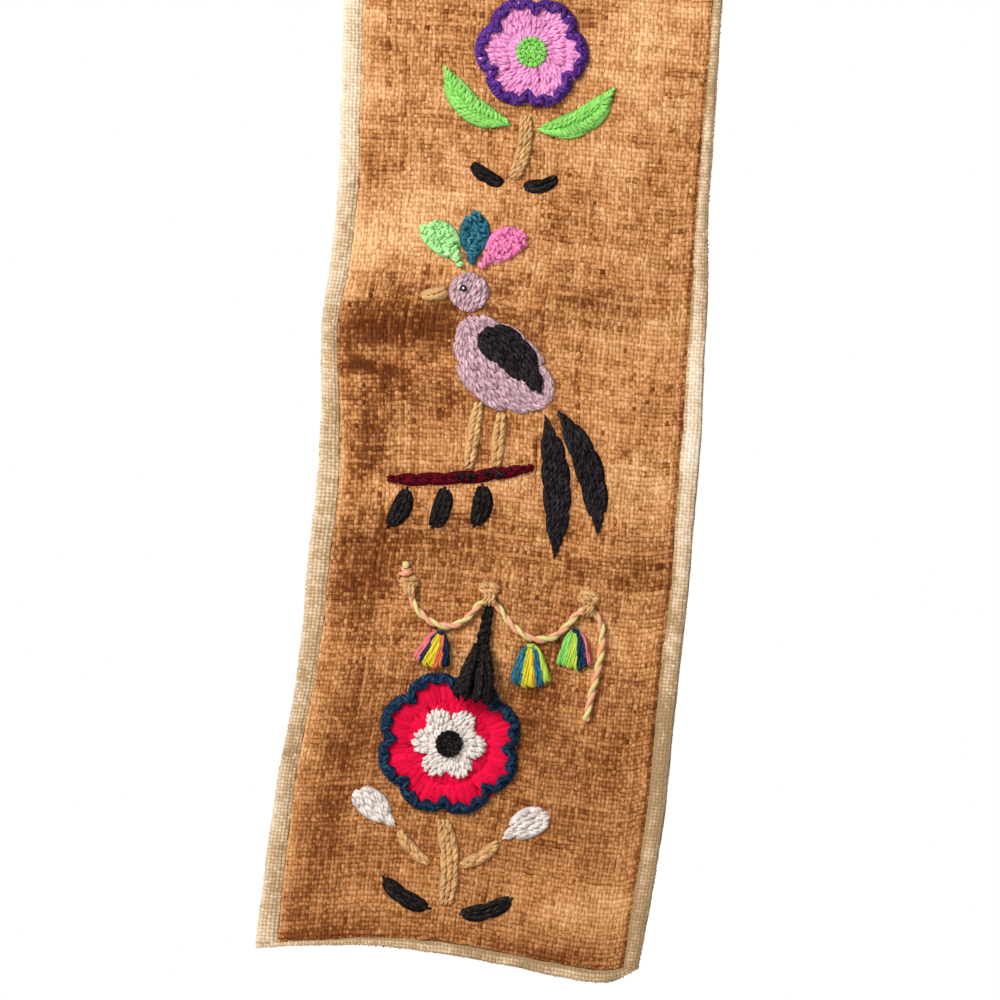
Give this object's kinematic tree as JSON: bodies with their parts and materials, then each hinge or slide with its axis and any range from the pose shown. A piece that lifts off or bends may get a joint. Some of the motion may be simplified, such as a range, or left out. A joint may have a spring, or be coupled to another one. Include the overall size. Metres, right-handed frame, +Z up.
{
  "type": "embroidered wall banner",
  "caption": "Narrow brown woven wall banner on a cream backing, with raised wool embroidery, a twisted cord with tassels and a plait.",
  "frame": {"origin": "middle of the banner's top edge, in the middle of the cloth's thickness", "axes": "+X right as seen from the front, -Y out of the embroidered face, +Z up along the banner"},
  "size_m": [0.1636, 0.0172, 0.4729],
  "materials": {
    "brown_cloth": "coarse plain weave, unevenly dyed brown",
    "cream_cloth": "undyed plain weave",
    "pink_wool": "matt wool yarn",
    "purple_wool": "matt wool yarn",
    "green_wool": "matt wool yarn",
    "teal_wool": "matt wool yarn",
    "hot_pink_wool": "matt wool yarn",
    "tan_wool": "matt wool yarn",
    "black_wool": "matt wool yarn",
    "lavender_wool": "matt wool yarn",
    "charcoal_wool": "matt wool yarn",
    "maroon_wool": "matt wool yarn",
    "crimson_wool": "matt wool yarn",
    "navy_wool": "matt wool yarn",
    "white_wool": "matt wool yarn",
    "twisted_cord": "two strands, salmon pink and yellow green",
    "tassel_wool": "matt wool in several bright colours"
  },
  "bodies": {
    "root": {"front_panel": "brown_cloth", "backing": "cream_cloth", "top_leaf_left": "green_wool", "top_leaf_middle": "green_wool", "top_leaf_right": "green_wool", "low_leaf_left": "green_wool", "low_leaf_right": "green_wool", "top_stem": "tan_wool", "top_sprig_left": "black_wool", "top_sprig_right": "black_wool", "crest_green": "green_wool", "crest_teal": "teal_wool", "crest_pink": "hot_pink_wool", "bird_head": "lavender_wool", "bird_beak": "tan_wool", "bird_body": "lavender_wool", "bird_wing": "charcoal_wool", "tail_plume_left": "charcoal_wool", "tail_plume_right": "charcoal_wool", "leg_left": "tan_wool", "leg_right": "tan_wool", "twig": "maroon_wool", "twig_leaf_left": "black_wool", "twig_leaf_middle": "black_wool", "twig_leaf_right": "black_wool", "knot_left": "tan_wool", "knot_middle": "tan_wool", "knot_right": "tan_wool", "low_stem": "tan_wool", "branch_left": "tan_wool", "branch_right": "tan_wool", "bud_left": "white_wool", "bud_right": "white_wool", "low_sprig_left": "black_wool", "low_sprig_right": "black_wool", "pink_bloom": "pink_wool", "pink_bloom_edging": "purple_wool", "pink_bloom_eye": "green_wool", "crimson_bloom": "crimson_wool", "crimson_bloom_edging": "navy_wool", "crimson_bloom_inner": "white_wool", "crimson_bloom_eye": "black_wool", "garland_cord": "twisted_cord", "tassel_left": "tassel_wool", "tassel_middle": "tassel_wool", "tassel_right": "tassel_wool", "black_plait": "black_wool"}
  },
  "joints": []
}
